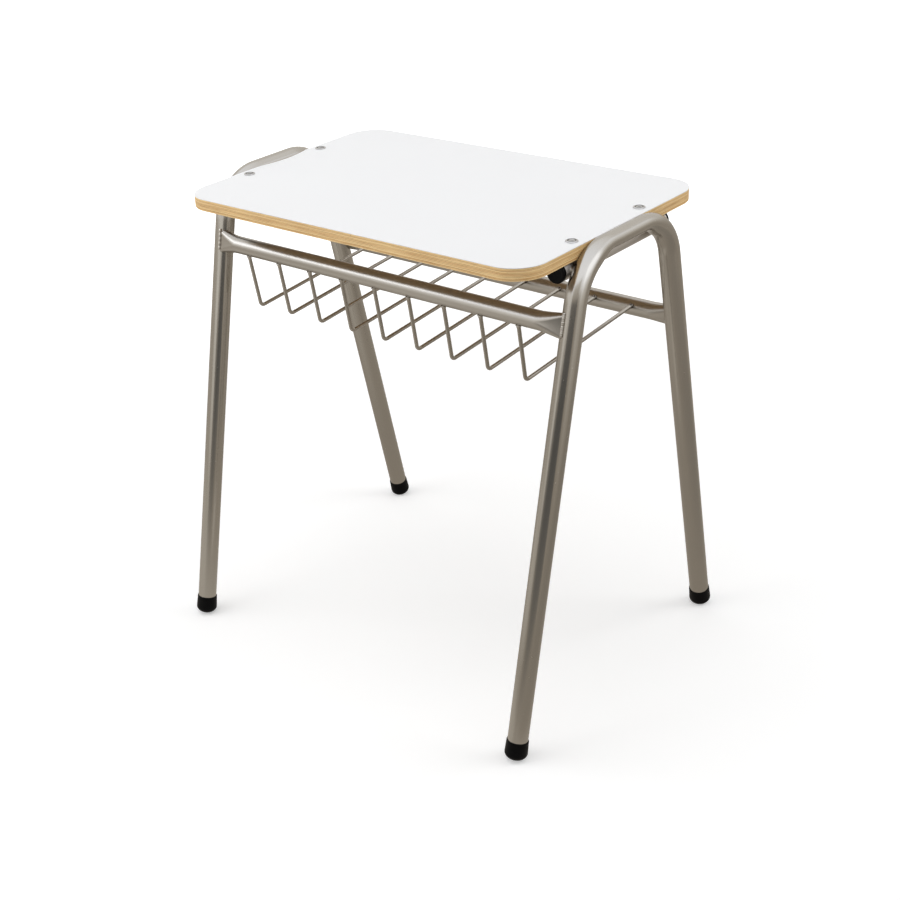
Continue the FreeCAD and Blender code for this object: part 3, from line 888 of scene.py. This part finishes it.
def bolt_grid(centre, reach, seat, top, columns=96):
    """Rings from under the head, up its rim, over the dome to the lip of the dish, down to the
    dish floor, and then down a hexagon whose radius follows the direction to its flats."""
    turn = np.linspace(0, 2 * math.pi, columns, endpoint=False)
    to_flat = (turn + math.pi / 6) % (math.pi / 3) - math.pi / 6
    hexagon = bolt_socket / 2 / np.cos(to_flat)
    ball = (reach ** 2 + bolt_dome ** 2) / (2 * bolt_dome)

    def dome(r):
        """Height of the ball that the top of the head is cut from."""
        return top - ball + math.sqrt(ball ** 2 - r ** 2)

    lip = bolt_dish_radius + bolt_lip
    floor = dome(0) - bolt_dish_depth
    rings = [(bolt_neck, seat), (reach - 2 * bolt_nick, seat), (reach, seat + 2 * bolt_nick)]
    edge = reach - bolt_edge
    rings += quarter_round((edge, dome(edge) - bolt_edge), bolt_edge, 6)
    rings += [(r, dome(r)) for r in np.linspace(edge, lip, 8)[1:]]
    rings += [(lip - bolt_lip * math.sin(t), dome(lip) - bolt_lip * (1 - math.cos(t)))
              for t in np.linspace(0, math.pi / 2, 5)[1:]]
    rings += [(bolt_dish_radius - bolt_nick, floor + 2 * bolt_nick),
              (bolt_dish_radius - 4 * bolt_nick, floor), (hexagon + 4 * bolt_nick, floor),
              (hexagon + bolt_nick, floor - bolt_nick), (hexagon, floor - 3 * bolt_nick),
              (hexagon, floor - bolt_socket_depth),
              (hexagon * 0.1, floor - bolt_socket_depth - 2 * bolt_nick)]
    radius = np.stack([np.broadcast_to(ring[0], (columns,)) for ring in rings])
    height = np.array([ring[1] for ring in rings])[:, None]
    return np.stack([centre[0] + radius * np.cos(turn), centre[1] + radius * np.sin(turn),
                     np.broadcast_to(height, radius.shape)], axis=2)


bolt_plate = bright_plate("bolt_plate")
for node in sorted(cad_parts):
    if node.endswith("_bolt"):
        low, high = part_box(node)
        centre = ((low.x + high.x) / 2, (low.y + high.y) / 2)
        seat = laminate_high.z
        rings = bolt_grid(centre, (high.x - low.x) / 2, seat, seat + bolt_crown)
        head = skin(node + "_head", rings, sharp_degrees=45)
        put(head, bolt_plate, "bolt_steel", node)


# Studio
# The desk stands on a plain white floor under a white sky, with one broad lamp to the left of
# the camera, one overhead and a smaller one on the far right. Cards that only reflections see
# stand around it, as a photographer sets them to give satin tubes their soft bands.

def outwards(turn, rise):
    """Direction from the desk out to a turn round it and a rise above the floor, in degrees."""
    turn, rise = math.radians(turn), math.radians(rise)
    return Vector((math.sin(turn) * math.cos(rise), -math.cos(turn) * math.cos(rise),
                   math.sin(rise)))


camera_turn = 43.739
camera_rise = 29.414
camera_roll = math.radians(-4.249)
camera_place = Vector((1.410408, -1.682486, 1.437941))
focal_pixels = 1464.194
centre_pixels = (362.089, 512.919)
image_pixels = 900
sensor = 36.0

back = outwards(camera_turn, camera_rise)
level = (-back).cross(Vector((0, 0, 1))).normalized()
upward = level.cross(-back)
right = math.cos(camera_roll) * level + math.sin(camera_roll) * upward
above = -math.sin(camera_roll) * level + math.cos(camera_roll) * upward
lens = bpy.data.cameras.new("camera")
lens.sensor_width = sensor
lens.lens = focal_pixels / image_pixels * sensor
lens.shift_x = (image_pixels / 2 - centre_pixels[0]) / image_pixels
lens.shift_y = (centre_pixels[1] - image_pixels / 2) / image_pixels
camera = add("camera", lens)
camera.matrix_world = Matrix.Translation(camera_place) @ Matrix(
    (right, above, back)).transposed().to_4x4()
bpy.context.scene.camera = camera
bpy.context.scene.view_settings.view_transform = "Standard"


def seen_directly(finish):
    """1 for camera, glossy and transmission rays, 0 for the rays that light the object."""
    rays = finish.node("ShaderNodeLightPath")
    seen_by_camera, glossy, transmitted = rays[0], rays[3], rays[6]
    return seen_by_camera.most(glossy).most(transmitted)


sky_level = 0.50
world = bpy.data.worlds.new("studio_sky")
bpy.context.scene.world = world
sky = Finish("studio_sky", "ShaderNodeMixShader", world)
dim = sky.node("ShaderNodeBackground", None, {"Color": (1, 1, 1, 1), "Strength": sky_level})[0]
full = sky.node("ShaderNodeBackground", None, {"Color": (1, 1, 1, 1), "Strength": 1.0})[0]
sky.mix(seen_directly(sky), dim, full)

floor_half = 9.0
floor_white = (0.80, 0.80, 0.80, 1)
floor_glow = 0.38
floor_glow_start = 0.9
floor_glow_end = 3.2
floor_mesh = bpy.data.meshes.new("floor")
floor_mesh.from_pydata([(-floor_half, -floor_half, 0), (floor_half, -floor_half, 0),
                        (floor_half, floor_half, 0), (-floor_half, floor_half, 0)], [],
                       [(0, 1, 2, 3)])
floor = add("floor", floor_mesh)
paper = Finish("white_floor", "ShaderNodeMixShader")
away = paper.node("ShaderNodeVectorMath", {"operation": "LENGTH"}, {0: paper.place()})[1]
matte = paper.node("ShaderNodeBsdfDiffuse", None, {"Color": floor_white})[0]
glow = paper.node("ShaderNodeEmission", None,
                  {"Strength": away.ramp(floor_glow_start, floor_glow_end) + floor_glow})[0]
paper.mix(seen_directly(paper), matte, paper.node("ShaderNodeAddShader", None,
                                                  {0: matte, 1: glow})[0])
floor_mesh.materials.append(paper.material)


lamp_aim = Vector((0, 0, 0.5))


def lamp(name, turn, rise, distance, size, power):
    """Soft box aimed at the desk, from a turn, a rise and a distance."""
    light = bpy.data.lights.new(name, "AREA")
    light.shape = "RECTANGLE"
    light.size, light.size_y = size
    light.energy = power
    box = add(name, light)
    outward = outwards(turn, rise)
    box.location = lamp_aim + outward * distance
    box.rotation_euler = outward.to_track_quat("Z", "Y").to_euler()
    box.visible_glossy = False


lamp("left_lamp", -44, 28, 3.2, (2.4, 2.2), 24.5)
lamp("top_lamp", -60, 79, 3.0, (2.2, 2.2), 23.5)
lamp("right_lamp", 130, 40, 3.4, (1.6, 1.4), 22)


def card_colour(level):
    """Colour of a card at a level: dark and plain white ones are neutral, the ones between are
    warm, and those brighter than white are cool."""
    steps = (0.15, 0.40, 0.80, 1.15, 1.60)
    red = np.interp(level, steps, (1.0, 1.10, 1.03, 1.0, 0.95))
    blue = np.interp(level, steps, (1.0, 0.88, 0.95, 1.0, 1.10))
    return (level * red, level, level * blue)


def card(name, grid, levels, fade):
    """Sheet that only reflections see. Its level follows stops along the columns of the grid,
    each with its share of the way, and it thins out towards its four edges over two shares."""
    board = skin(name, grid, closed=False)
    rows, columns = grid.shape[:2]
    shares = np.zeros((rows, columns, 3), np.float32)
    shares[..., 0] = np.linspace(0, 1, rows)[:, None]
    shares[..., 1] = np.linspace(0, 1, columns)
    board.data.attributes.new("share", "FLOAT_VECTOR", "POINT").data.foreach_set(
        "vector", shares.ravel())
    toned = Finish(name, "ShaderNodeMixShader")
    share = toned.node("ShaderNodeAttribute", {"attribute_name": "share"})[1]
    along, across, _ = toned.parts(share)
    mask = (along.ramp(0, fade[0]) * (1 - along).ramp(0, fade[0])
            * across.ramp(0, fade[1]) * (1 - across).ramp(0, fade[1]))
    stops = [(place, card_colour(level)) for place, level in levels]
    tone = toned.node("ShaderNodeValToRGB", {"stops": stops}, {0: across})[0]
    clear = toned.node("ShaderNodeBsdfTransparent")[0]
    toned.mix(mask, clear, toned.node("ShaderNodeEmission", None, {0: tone})[0])
    board.data.materials.append(toned.material)
    for ray in ("camera", "diffuse", "shadow", "transmission"):
        setattr(board, "visible_" + ray, False)


def round_wall(turns, heights, distance):
    """Upright sheet on a circle round the desk: each point is the distance times the direction
    of its turn, at its height."""
    turn, height = np.meshgrid(np.radians(np.linspace(*turns, 49)), np.linspace(*heights, 17),
                               indexing="ij")
    return np.stack([distance * np.sin(turn), -distance * np.cos(turn), height], axis=2)


def level_sheet(centre, half, height):
    """Level sheet whose rows run along X and whose columns run along Y."""
    x, y = np.meshgrid(centre[0] + half[0] * np.linspace(-1, 1, 9),
                       centre[1] + half[1] * np.linspace(-1, 1, 9), indexing="ij")
    return np.stack([x, y, np.full_like(x, height)], axis=2)


# A wall has its turns in degrees, its distance, the shares over which it thins out at its two
# ends and at its foot and top, and stops of height and level.
room_top = 2.7
walls = {
    "front_room": ((-75, 85), 2.00, (0.10, 0.001), (
        (-0.05, 0.62), (0.30, 0.88), (0.60, 1.05), (1.20, 1.15), (1.65, 1.6), (room_top, 1.75))),
    "right_room": ((75, 168), 2.02, (0.16, 0.001), (
        (-0.05, 0.43), (0.35, 0.41), (0.75, 0.50), (1.05, 0.72), (1.35, 0.94), (1.65, 1.2),
        (2.10, 1.50), (room_top, 1.60))),
    "back_room": ((145, 292), 2.04, (0.06, 0.001), (
        (-0.05, 0.47), (0.80, 0.60), (1.05, 0.86), (2.20, 1.00), (room_top, 1.15))),
    "left_room": ((-100, -45), 2.06, (0.001, 0.001), (
        (-0.05, 0.60), (0.80, 1.00), (room_top, 1.10))),
    "left_card": ((-118, -31), 1.70, (0.06, 0.08), (
        (-0.10, 0.60), (0.35, 0.56), (0.76, 0.70))),
    "right_card": ((47, 182), 1.70, (0.05, 0.08), (
        (-0.10, 0.44), (0.55, 0.43), (0.80, 0.55), (1.05, 0.75))),
    "right_box": ((59, 120), 1.60, (0.28, 0.06), (
        (-0.10, 0.42), (0.15, 0.48), (0.45, 0.74), (0.75, 1.05), (0.90, 1.4), (1.20, 2.2),
        (1.70, 2.4), (2.40, 1.8))),
    "dark_wing": ((-11, 16), 1.44, (0.17, 0.08), (
        (-0.08, 0.28), (0.20, 0.24), (0.42, 0.25), (0.52, 0.38), (0.68, 0.75))),
    "dark_card": ((5, 57), 1.43, (0.10, 0.05), (
        (-0.08, 0.26), (0.20, 0.18), (0.40, 0.12), (0.62, 0.14), (0.78, 0.26), (0.92, 0.55),
        (1.25, 0.76), (1.60, 1.0))),
    "soft_box": ((-82, -29), 1.62, (0.20, 0.26), ((1.05, 3.1), (1.72, 3.1))),
}
for name, (turns, distance, fade, stops) in walls.items():
    low, high = stops[0][0], stops[-1][0]
    levels = [((height - low) / (high - low), level) for height, level in stops]
    card(name, round_wall(turns, (low, high), distance), levels, fade)

# A level card has its middle, its half sizes and its height, the shares over which it thins
# out, and stops of the share of the way along Y and level.
# The sheets on the floor paint the floor's light and shade into the reflections: grey for the floor
# in the desk's shade, lighter patches at the left and near the front, and darker ones out in front
# and on the right.
level_cards = {
    "ceiling_card": ((0, 0), (2.2, 2.2), room_top - 0.05, (0.02, 0.02),
                     ((0, 1.8), (0.5, 1.6), (1, 1.2))),
    "ground_card": ((0, 0), (2.1, 2.1), 0.0015, (0.001, 0.001), ((0, 0.42), (1, 0.46))),
    "left_ground": ((-0.75, -0.85), (1.0, 1.05), 0.0020, (0.35, 0.35), ((0, 0.74), (1, 0.70))),
    "near_ground": ((0.22, -0.36), (0.30, 0.26), 0.0025, (0.4, 0.4), ((0, 0.66), (1, 0.66))),
    "dark_ground": ((0.62, -1.12), (0.62, 0.50), 0.0030, (0.4, 0.4), ((0, 0.27), (1, 0.30))),
    "right_ground": ((1.05, 0.25), (0.80, 1.1), 0.0025, (0.4, 0.3), ((0, 0.38), (1, 0.34))),
}
for name, (centre, half, height, fade, levels) in level_cards.items():
    card(name, level_sheet(centre, half, height), levels, fade)
